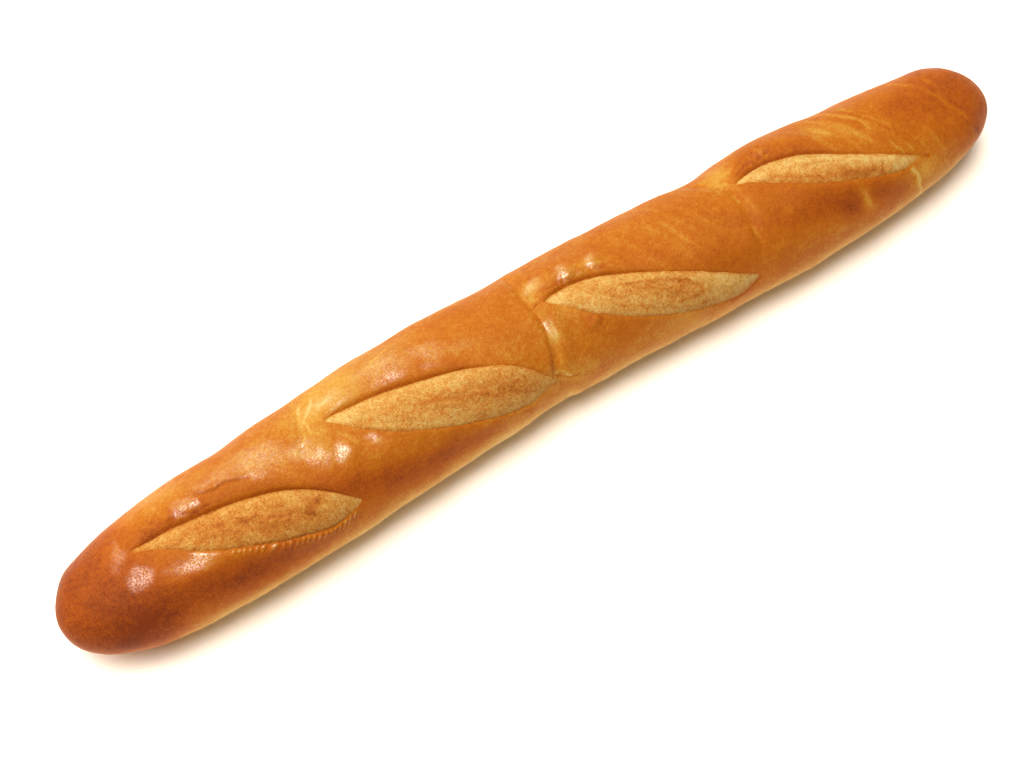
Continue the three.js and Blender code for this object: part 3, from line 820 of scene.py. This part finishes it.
def foot_shade_line(x, t):
    """Painted shade in the crevice where the skin of each lip meets the crumb, 1 at its darkest."""
    line = 0
    for cut in CUTS:
        along, far, near, squeeze = cut_at(cut, x)
        here = FOOT_SHADE["least"] + (1 - FOOT_SHADE["least"]) * lip_strength(cut, along)
        here = here * smoothstep(0, FOOT_SHADE["grow"], along) * (1 - smoothstep(FOOT_SHADE["fade"], 1, along))
        line = np.maximum(line, here * bell((t - far) * squeeze, FOOT_SHADE["width"]))
    return line


# The bake, with painted shade added along the tears, folds and lip feet.
def skin_bake_and_painted_light(x, t, z):
    along = sum(ramp["more"] * smoothstep(ramp["start"], ramp["end"], x) for ramp in BAKE_ALONG)
    low = 1 - smoothstep(LOW_BAND["low"], LOW_BAND["high"], z + grains(x, t, LOW_BAND["grain"]))
    sole = 1 - smoothstep(SOLE["low"], SOLE["high"], z)
    # dark is painted shade along the tears, folds and the foot of each lip, and it also darkens the sole.
    dark = TEAR_SHADE * tear_marks(x, t) + FOOT_SHADE["more"] * foot_shade_line(x, t) + SOLE["more"] * sole
    bake = BAKE_LEVEL + along + patch_sum(x, t, BAKE_AND_HIGHLIGHT_PATCHES) + grains(x, t, MOTTLE)
    return np.clip(bake + dark - LOW_BAND["paler"] * low, 0, 1)


bake = skin_bake_and_painted_light(*skin, base_z)
store(crust, "bake", np.append(bake.ravel(), [bake[0].mean(), bake[-1].mean()]))
print("bake from", round(float(bake.min()), 2), "to", round(float(bake.max()), 2))

# %% Pale marks of the skin
TOOTH_PALE = 0.5
teeth = np.maximum(ridges(*skin, TEETH), 0)
pale = stretch_marks(*skin) + streak_marks(*skin) + TOOTH_PALE * teeth
store(crust, "pale", np.append(pale.ravel(), [0, 0]))
print("share of the skin with pale marks:", round(float((pale > 0.1).mean()), 3))

# %% [markdown]
# The skin is shiny only where it was stretched thin and smooth: on the rolled lips, on the shoulders of the
# necks, and round the first cut's left tip. A number called gloss marks those patches, with ragged edges. Two
# more follow the height of the skin: the haze is a thin even shine low on the flanks, which reaches higher on
# the far side, and the side fill number marks where painted fill light makes the sides paler than the top.

# %% Gloss of the skin
# Each patch: x, t, half length, half width, turn in degrees, gloss.
GLOSS_PATCHES = [
    (-215, 8.5, 3.2, 7, -12, 0.75),
    (-210.5, -8, 4.2, 5.6, 25, 0.9),
    (-190, -15, 9.5, 4.4, -18, 1.0),
    (-179, 7.5, 7, 4, -20, 1.0),
    (-166, 11.5, 13, 4.6, -8, 0.62),
    (-147, 9, 15, 8, -20, 0.8),
    (-129, 0, 11, 6, -40, 0.8),
    (-114, -10, 3, 4.5, -20, 0.8),
    (-99, -12.5, 5, 3, -30, 0.5),
    (-108, 14, 12, 5.5, -10, 0.58),
    (-82, 12, 15, 7.5, -14, 0.66),
    (-62, 8, 12, 6, -25, 0.55),
    (-48, 2, 8, 4, -25, 0.4),
    (-9.6, -12.5, 2.8, 6, -8, 1.0),
    (-4, 10, 6, 3.5, 10, 0.7),
    (10, 7.5, 5.5, 4, -30, 0.85),
    (24.5, 7, 2.6, 4.5, -10, 0.75),
    (122, 15.5, 9, 2.5, -8, 0.3),
]
GLOSS_EDGE = (0.1, 0.8)
GLOSS_WANDER = dict(x=[(2.2, 6, 6, 61), (0.9, 2.4, 2.4, 62)], t=[(1.8, 6, 6, 63), (0.8, 2.4, 2.4, 64)])
DULL_BELOW_TEAR = (-0.3, 0.5)
TOOTH_GLOSS = dict(low=0.3, high=0.8, gloss=0.8)
HAZE = dict(low=6, high=30, far_lift=14, far=(5, 20))
# Painted fill light on the sides: full below the first height, none above the second.
SIDE_FILL = dict(low=12, high=50)


def skin_gloss(x, t):
    places = wander(x, t, GLOSS_WANDER)
    gloss = np.max([patch_sum(*places, [patch]) for patch in GLOSS_PATCHES], axis=0)
    above, here = past_torn_edge(x, t)
    gloss = gloss * (1 - here * (1 - smoothstep(*DULL_BELOW_TEAR, above)))
    teeth = smoothstep(TOOTH_GLOSS["low"], TOOTH_GLOSS["high"], ridges(x, t, TEETH))
    return np.maximum(smoothstep(*GLOSS_EDGE, gloss), TOOTH_GLOSS["gloss"] * teeth)


gloss = skin_gloss(*skin)
far_lift = HAZE["far_lift"] * smoothstep(*HAZE["far"], ring_t)
haze = 1 - smoothstep(HAZE["low"], HAZE["high"], base_z - far_lift)
# How much painted fill light each point gets.
flank = 1 - smoothstep(SIDE_FILL["low"], SIDE_FILL["high"], base_z)
for name, values, at_tips in [("gloss", gloss, 0), ("haze", haze, 1), ("flank", flank, 1)]:
    store(crust, name, np.append(values.ravel(), [at_tips, at_tips]))
print("glossy share of the skin:", round(float(gloss.mean()), 3))

# %% [markdown]
# ## The crumb in the cuts
#
# In each cut the inside of the loaf shows: a matt, finely torn surface that swelled up and
# toasted on top. It is a closed pillow laid out between the cut's own edges and pushed a
# little way under both of them, so the lip and the rim give it its outline.

# %% Relief of the crumb
CRUMB_GROWS = 0.15
CRUMB_FADES = 0.8
RIPPLES = [
    dict(size=0.1, along=11, round=9, phase=1.1),
    dict(size=0.06, along=7.5, round=-13, phase=3.7),
]
TORN_ALONG = [(0.1, 5, 2.2, 0), (0.09, 2.4, 1.2, 1)]
TORN_FINE = [(0.07, 1.0, 0.9, 2)]


def from_seed(layers, seed):
    """The same layers of grain with other random numbers, so that no two crumbs match."""
    return [(*layer[:3], layer[3] + seed) for layer in layers]


def crumb_rise(cut, along, x, t, far, near, seed):
    open_share = smoothstep(0, CRUMB_GROWS, along) * (1 - smoothstep(CRUMB_FADES, 1, along))
    from_far = 1 - np.exp(-np.maximum(far - t, 0) / CRUMB["steepness"])
    from_near = 1 - np.exp(-np.maximum(t - near, 0) / CRUMB["steepness"])
    bulge = (CRUMB["bulge"] + waves(RIPPLES, x, t)) * from_far * from_near
    first, last = cut["far"][0], cut["far"][-1]
    across = t - x * (last[1] - first[1]) / (last[0] - first[0])
    torn = grains(x, across, from_seed(TORN_ALONG, seed)) + grains(x, t, from_seed(TORN_FINE, seed))
    far_dip = (LIP["depth"] * lip_strength(cut, along) + CRUMB["edge"]) * (1 - from_far)
    near_dip = CRUMB["near_edge"] * (1 - from_near)
    return lumps(x, t) + (bulge + torn) * open_share - far_dip - near_dip


print("layers of torn grain:", len(TORN_ALONG + TORN_FINE))

# %% Toast of the crumb
# Each patch: x, t, half length, half width, turn in degrees, how much more it is toasted.
TOAST_PATCHES = [
    (-158, -17, 24, 6, -28, 0.16),
    (-134, -25, 15, 6, -25, 0.08),
    (-148, -13.6, 3, 1.6, -20, 0.25),
    (-135, -19.4, 3.5, 2, -35, 0.35),
    (-138, -22, 2.2, 2, 0, 0.3),
    (-60, -18, 26, 4.5, -27, 0.2),
    (-36, -24, 16, 5, -30, 0.2),
    (-92, -8, 14, 3, -25, 0.12),
    (46, -20, 18, 4, -27, 0.26),
    (18, -9, 10, 3.5, -30, 0.1),
    (150, -9, 22, 3, -25, 0.1),
    (146, -4, 40, 12, -25, -0.06),
    (-198, 0, 12, 5, -20, -0.02),
    (-170, -11, 34, 12, -25, 0.14),
    (-193, -2, 16, 8, -25, 0.08),
    (-104, 1, 13, 6, -20, -0.16),
    (0, -1, 10, 5, -20, -0.14),
    (76, -32, 16, 6, -25, -0.12),
    (112, 7, 12, 5, -20, -0.1),
    (183, -20, 8, 4, -20, -0.08),
]
# Each line: its (x, t) points, its half width, how much more it is toasted.
TOAST_LINES = [
    ([(28, -9.5), (44, -14.5), (57, -21.5), (62, -26), (60.5, -29), (50, -27.5)], 0.7, 0.24),
    ([(20, -14), (34, -23), (52, -31.5), (66, -36)], 0.8, 0.12),
    ([(-82, -8), (-62, -16), (-45, -24), (-28, -33)], 0.9, 0.14),
    ([(-176, -6), (-160, -12), (-146, -19), (-134, -27)], 1.0, 0.1),
    ([(118, 3), (134, -6.5), (152, -13.5), (168, -19)], 2.2, 0.34),
    ([(128, 5), (146, -2), (162, -10), (178, -17)], 0.8, -0.12),
    ([(178, -15), (175, -19), (176, -23)], 0.7, -0.14),
]
TOAST = dict(level=0.3, far=0.2, far_start=0.3, far_width=0.9, near=0.16, near_width=1.4)
TOAST_WANDER = dict(x=[(0.8, 4, 3, 73)], t=[(0.8, 4, 3, 74)])
PATCH_WANDER = [(0.9, 5, 4, 71)]
TOAST_GRAIN = [(0.06, 6, 3, 72)]


def crumb_toast(x, t, far, near):
    at_far = TOAST["far"] * bell(np.maximum(far - t - TOAST["far_start"], 0), TOAST["far_width"])
    at_near = TOAST["near"] * bell(np.maximum(t - near, 0), TOAST["near_width"])
    patches = patch_sum(x, t + grains(x, t, PATCH_WANDER), TOAST_PATCHES)
    places = wander(x, t, TOAST_WANDER)
    lines = sum(more * bell(distance_to_line(*places, line), width) for line, width, more in TOAST_LINES)
    return TOAST["level"] + at_far + at_near + patches + lines + grains(x, t, TOAST_GRAIN)


print("toasted patches and lines:", len(TOAST_PATCHES), len(TOAST_LINES))

# %% Build the crumb
PILLOW = dict(rows=230, columns=74, end=0.02, depth=7, thin_edge=0.25)
TUCK = dict(far=1.6, near=0.96, far_dive=0.9, near_dive=2.25)


def crumb_pillow(number, cut):
    start, end = cut["far"][0][0], cut["far"][-1][0]
    share = 0.5 - 0.5 * np.cos(math.pi * np.linspace(PILLOW["end"], 1 - PILLOW["end"], PILLOW["rows"]))
    x = (start + (end - start) * share)[:, None]
    along, far, near, squeeze = cut_at(cut, x)
    reach = np.linspace(0, 1, PILLOW["columns"])[None, :]
    low, high = near - TUCK["near"], far + TUCK["far"]
    t = low + (high - low) * reach
    y, z, out_y, out_z = skin_points(x[:, 0], t)
    rise = crumb_rise(cut, along, x, t, far, near, 50 + 5 * number)
    rise = rise - TUCK["far_dive"] * np.maximum(t - far, 0) - TUCK["near_dive"] * np.maximum(near - t, 0)
    thickness = PILLOW["thin_edge"] + (1 - PILLOW["thin_edge"]) * np.sin(math.pi * reach)
    sunk = rise - PILLOW["depth"] * thickness
    grid = np.repeat(x, PILLOW["columns"], axis=1)
    top = np.stack([grid, y + out_y * rise, z + out_z * rise], axis=-1)
    bottom = np.stack([grid, y + out_y * sunk, z + out_z * sunk], axis=-1)
    points = np.concatenate([top, bottom[:, ::-1]], axis=1).reshape(-1, 3)
    points[:, 1] -= across_middle
    columns = 2 * PILLOW["columns"]
    faces = ring_faces(PILLOW["rows"], columns)
    last = (PILLOW["rows"] - 1) * columns
    faces.append(list(range(columns)))
    faces.append([last + j for j in reversed(range(columns))])
    pillow = mesh_object(f"crumb_{number}", points, faces)
    toast = crumb_toast(x, t, far, near)
    store(pillow, "toast", np.concatenate([toast, toast[:, ::-1]], axis=1))
    return pillow


crumbs = [crumb_pillow(number, cut) for number, cut in enumerate(CUTS, 1)]
for pillow in crumbs:
    print(pillow.name, len(pillow.data.polygons), "faces")

# %% [markdown]
# ## Materials
#
# The two finishes are worked out from numbers that change over the surface, so they are
# written as sums. The small class below wraps one output of a node and turns each sum into
# Math nodes. Every other kind of node comes from its one method, node.

# %% A socket that can be added up
class Socket:
    """One output of a shader node, or the start of a new tree when it has no output."""

    def __init__(self, tree, output=None):
        self.tree = tree
        self.output = output

    def node(self, kind, settings=(), inputs=(), output=0):
        """Adds a node, sets its settings, then its sockets, and returns one of its outputs."""
        made = self.tree.nodes.new(kind)
        for name, value in dict(settings).items():
            if name == "stops":
                fill_ramp(made.color_ramp, value)
            else:
                setattr(made, name, value)
        for name, value in dict(inputs).items():
            if isinstance(value, Socket):
                self.tree.links.new(value.output, made.inputs[name])
            else:
                made.inputs[name].default_value = value
        return Socket(self.tree, made.outputs[output] if len(made.outputs) else None)

    def math(self, operation, first, second=0.0, clamp=False):
        settings = {"operation": operation, "use_clamp": clamp}
        return self.node("ShaderNodeMath", settings, {0: first, 1: second})

    def __add__(self, other):
        return self.math("ADD", self, other)

    def __radd__(self, other):
        return self.math("ADD", other, self)

    def __sub__(self, other):
        return self.math("SUBTRACT", self, other)

    def __rsub__(self, other):
        return self.math("SUBTRACT", other, self)

    def __mul__(self, other):
        return self.math("MULTIPLY", self, other)

    def __rmul__(self, other):
        return self.math("MULTIPLY", other, self)

    def clamped(self):
        return self.math("ADD", self, 0.0, clamp=True)


def fill_ramp(ramp, stops):
    while len(ramp.elements) < len(stops):
        ramp.elements.new(0.5)
    for element, (place, colour) in zip(ramp.elements, stops):
        element.position = place
        element.color = colour


print("sums that a socket takes:", [name for name in vars(Socket) if name.startswith("__r")])

# %% Shared parts of both finishes
def new_material(name):
    material = bpy.data.materials.new(name)
    material.use_nodes = True
    tree = material.node_tree
    tree.nodes.clear()
    start = Socket(tree)
    place = start.node("ShaderNodeTexCoord", output="Object")
    return material, start, place


def noise(start, place, size, detail=2.0, roughness=0.5):
    """Cloudy values from about 0.3 to 0.7, with clouds of the given size in millimetres."""
    inputs = {"Vector": place, "Scale": 1 / (size * MM), "Detail": detail, "Roughness": roughness}
    return start.node("ShaderNodeTexNoise", inputs=inputs)


def stored(start, name):
    return start.node("ShaderNodeAttribute", {"attribute_name": name}, output="Fac")


def bumped(start, height, bump):
    inputs = {"Strength": bump["strength"], "Distance": bump["distance"], "Height": height}
    return start.node("ShaderNodeBump", inputs=inputs, output="Normal")


def finish_material(material, start, shader):
    start.node("ShaderNodeOutputMaterial", inputs={"Surface": shader})
    return material


print("noise clouds of 9 mm have a scale of", round(1 / (9 * MM), 1))

# %% [markdown]
# ### Crust
#
# Baked crust is browned sugar and starch under a thin glaze. The bake number, which also carries painted
# shade and a few painted highlights, picks the colour from a ramp that runs from pale dough through gold and
# orange to red-brown; finer noise breaks it up, the gloss number makes the glossy patches a little paler,
# partly as a painted highlight, and the side fill number then lightens the sides with painted fill light. The
# glaze is a thin coat, and it is covered with blisters well under a millimetre wide, which is why a highlight
# on a loaf is a patch of specks, not a streak.

# %% Crust material
CRUST_STOPS = [
    (0.0, (0.47, 0.31, 0.1, 1)),
    (0.24, (0.4, 0.2, 0.026, 1)),
    (0.5, (0.325, 0.09, 0.003, 1)),
    (0.68, (0.27, 0.058, 0.002, 1)),
    (0.84, (0.195, 0.036, 0.002, 1)),
    (1.0, (0.12, 0.019, 0.002, 1)),
]
# How strongly each noise or mark shifts the place on the ramp.
SPECKLE = dict(clouds=0.2, specks=0.34, pores=0.46)
# The gloss share makes the glossy patches paler: stretched thin skin, and partly a painted highlight that
# warms their shine.
PALE_AND_HIGHLIGHT_SHIFT = dict(marks=0.34, gloss=0.12)
# How much paler the painted fill light makes the sides.
SIDE_FILL_LIGHTER = 0.6
CRUST_BUMP = dict(blisters=0.6, wavy=0.4, strength=0.7, distance=0.5 * MM)
CRUST_ROUGH = dict(matt=0.62, specks=0.2, gloss=0.32)
GLAZE = dict(contrast=5, level=0.42, haze=0.25)


def crust_material():
    material, start, place = new_material("baked_crust")
    clouds = noise(start, place, 9, detail=3)
    specks = noise(start, place, 2.2, detail=4, roughness=0.6)
    pores = noise(start, place, 0.7)
    gloss = stored(start, "gloss")
    speckle = SPECKLE["clouds"] * (clouds - 0.5) + SPECKLE["specks"] * (specks - 0.5)
    speckle = speckle + SPECKLE["pores"] * (pores - 0.5)
    shift = PALE_AND_HIGHLIGHT_SHIFT["marks"] * stored(start, "pale") + PALE_AND_HIGHLIGHT_SHIFT["gloss"] * gloss
    level = (stored(start, "bake") + speckle - shift).clamped()
    baked = start.node("ShaderNodeValToRGB", {"stops": CRUST_STOPS}, {"Fac": level})
    colour = start.node("ShaderNodeVectorMath", {"operation": "SCALE"},
                        {0: baked, "Scale": 1 + SIDE_FILL_LIGHTER * stored(start, "flank")})
    blisters = noise(start, place, 0.8, roughness=0.6)
    wavy = noise(start, place, 2.8)
    height = CRUST_BUMP["blisters"] * blisters + CRUST_BUMP["wavy"] * wavy
    glaze = noise(start, place, 0.9, detail=3, roughness=0.7)
    glaze = (GLAZE["contrast"] * (glaze - 0.5) + GLAZE["level"]).clamped()
    rough = CRUST_ROUGH["matt"] + CRUST_ROUGH["specks"] * (specks - 0.5) - CRUST_ROUGH["gloss"] * gloss
    shader = start.node("ShaderNodeBsdfPrincipled", inputs={
        "Base Color": colour,
        "Roughness": rough,
        "Normal": bumped(start, height, CRUST_BUMP),
        "Coat Weight": gloss * glaze + GLAZE["haze"] * stored(start, "haze"),
        "Coat Roughness": 0.24,
        "Coat IOR": 2.0,
        "Specular IOR Level": 0.1,
        "Sheen Weight": 0.14,
        "Sheen Roughness": 0.35,
        "Sheen Tint": (1.0, 0.7, 0.45, 1),
    })
    return finish_material(material, start, shader)


crust.data.materials.append(crust_material())
print("crust stops:", len(CRUST_STOPS))

# %% [markdown]
# ### Crumb
#
# The torn crumb is matt, full of fine pores, pale gold near the left tip of a cut and toasted
# orange along its middle. The toast was worked out with the mesh; here noise breaks it up,
# and the strongest peaks of one fine noise become brown specks that are also little pits.

# %% Crumb material
CRUMB_STOPS = [
    (0.0, (0.48, 0.33, 0.11, 1)),
    (0.25, (0.43, 0.228, 0.05, 1)),
    (0.5, (0.37, 0.138, 0.018, 1)),
    (0.75, (0.3, 0.078, 0.006, 1)),
    (1.0, (0.14, 0.034, 0.004, 1)),
]
# How strongly each noise shifts the place on the ramp.
TOAST_BREAKUP = dict(clouds=0.6, flecks=1.0, pits=1.0, brown=0.6)
BROWN_SPECKS = dict(contrast=7, above=0.62)
CRUMB_BUMP = dict(flecks=0.45, pits=0.4, brown=0.3, strength=0.8, distance=0.6 * MM)
CRUMB_ROUGH = dict(matt=0.75, pits=0.2)


def crumb_material():
    material, start, place = new_material("open_crumb")
    clouds = noise(start, place, 4.5, detail=3, roughness=0.6)
    flecks = noise(start, place, 1.5, detail=4, roughness=0.7)
    pits = noise(start, place, 0.5, roughness=0.6)
    peaks = noise(start, place, 0.9, roughness=0.7) - BROWN_SPECKS["above"]
    brown = (BROWN_SPECKS["contrast"] * peaks).clamped()
    breakup = TOAST_BREAKUP["clouds"] * (clouds - 0.5) + TOAST_BREAKUP["flecks"] * (flecks - 0.5)
    breakup = breakup + TOAST_BREAKUP["pits"] * (pits - 0.5) + TOAST_BREAKUP["brown"] * brown
    level = (stored(start, "toast") + breakup).clamped()
    colour = start.node("ShaderNodeValToRGB", {"stops": CRUMB_STOPS}, {"Fac": level})
    height = CRUMB_BUMP["flecks"] * flecks + CRUMB_BUMP["pits"] * pits - CRUMB_BUMP["brown"] * brown
    shader = start.node("ShaderNodeBsdfPrincipled", inputs={
        "Base Color": colour,
        "Roughness": CRUMB_ROUGH["matt"] + CRUMB_ROUGH["pits"] * (pits - 0.5),
        "Normal": bumped(start, height, CRUMB_BUMP),
        "Specular IOR Level": 0.15,
    })
    return finish_material(material, start, shader)


crumb_finish = crumb_material()
for pillow in crumbs:
    pillow.data.materials.append(crumb_finish)
print("crumb stops:", len(CRUMB_STOPS))

# %% [markdown]
# ## Pieces on the packed loaf
#
# The loaf is one body, so every piece rides on its root. The crust takes the place of the solid, and the
# crumbs lie in it.

# %% Put the pieces on the loaf
for piece in [crust, *crumbs]:
    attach(piece, "root")
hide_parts("loaf")
print("pieces:", [piece.name for piece in [crust, *crumbs]])

# %% [markdown]
# ## Floor, light and camera
#
# The loaf was photographed on a plain white ground under big soft lights, which make short
# shadows under its near side. The ground here is a large pale sheet. The sky gives a weak warm
# fill, and three area lights do the rest: two overhead, which don't reach under the near side,
# and a low wide one behind, whose reflections lie along the lips. Area lights are used because
# their size sets how soft a shadow and a highlight are.

# %% Floor
FLOOR_HALF = 3.0
FLOOR_COLOUR = (0.95, 0.89, 0.82, 1)


def floor_material():
    material, start, place = new_material("pale_floor")
    shader = start.node("ShaderNodeBsdfPrincipled", inputs={
        "Base Color": FLOOR_COLOUR,
        "Roughness": 0.9,
        "Specular IOR Level": 0.1,
    })
    return finish_material(material, start, shader)


corners = np.array([(-1, -1, 0), (1, -1, 0), (1, 1, 0), (-1, 1, 0)]) * FLOOR_HALF / MM
floor = mesh_object("floor", corners, [(0, 1, 2, 3)])
floor.data.materials.append(floor_material())
print("floor is", 2 * FLOOR_HALF, "m wide")

# %% Light
SKY = 0.18
SKY_COLOUR = (1.0, 0.92, 0.84, 1)
LAMP_COLOUR = (1.0, 0.96, 0.89)
LAMPS = [
    dict(name="key", toward=(-0.04, 0.12, 1), distance=2.0, size=(1.0, 1.0), power=34),
    dict(name="left", toward=(-0.32, 0.07, 1), distance=2.2, size=(1.3, 2.1), power=43),
    dict(name="back", toward=(-0.2, 1, 0.75), distance=1.4, size=(2.5, 1.5), power=22),
]

world = bpy.data.worlds.new("white_room")
world.use_nodes = True
sky = world.node_tree.nodes["Background"].inputs
sky["Color"].default_value = SKY_COLOUR
sky["Strength"].default_value = SKY
bpy.context.scene.world = world


def add_lamp(name, toward, distance, size, power):
    data = bpy.data.lights.new(name, "AREA")
    data.shape = "RECTANGLE"
    data.size, data.size_y = size
    data.energy = power
    data.color = LAMP_COLOUR
    lamp = new_object(name, data)
    direction = Vector(toward).normalized()
    lamp.location = direction * distance
    lamp.rotation_mode = "QUATERNION"
    lamp.rotation_quaternion = direction.to_track_quat("Z", "Y")
    return lamp


for lamp in LAMPS:
    print(lamp["name"], "light at", [round(v, 2) for v in add_lamp(**lamp).location])
bpy.context.scene.view_settings.view_transform = "Standard"

# %% [markdown]
# The camera looks down at the loaf from above its near side and is turned, so that the loaf
# runs across the picture from lower left to upper right. Its place was found by fitting the
# outline of the smooth loaf to the real one. It is kept as a turn, a lift, a distance and the
# point that it looks at, because those four can be changed one at a time.

# %% Camera
CAMERA_TURN = math.radians(33.08)
CAMERA_LIFT = math.radians(65)
CAMERA_DISTANCE = 634.9 * MM
CAMERA_TARGET = Vector((-32.08, -12.47 - float(across_middle), 28)) * MM
LENS = 50
SENSOR_WIDTH = 36
toward = Vector((
    math.sin(CAMERA_TURN) * math.cos(CAMERA_LIFT),
    math.cos(CAMERA_TURN) * math.cos(CAMERA_LIFT),
    -math.sin(CAMERA_LIFT),
))
right = Vector((math.cos(CAMERA_TURN), -math.sin(CAMERA_TURN), 0))
up = right.cross(toward)
camera_data = bpy.data.cameras.new("camera")
camera_data.lens = LENS
camera_data.sensor_width = SENSOR_WIDTH
camera = new_object("camera", camera_data)
turn = Matrix((right, up, -toward)).transposed().to_4x4()
camera.matrix_world = Matrix.Translation(CAMERA_TARGET - toward * CAMERA_DISTANCE) @ turn
bpy.context.scene.camera = camera
print("camera at", [round(v, 3) for v in camera.location])

# %% [markdown]
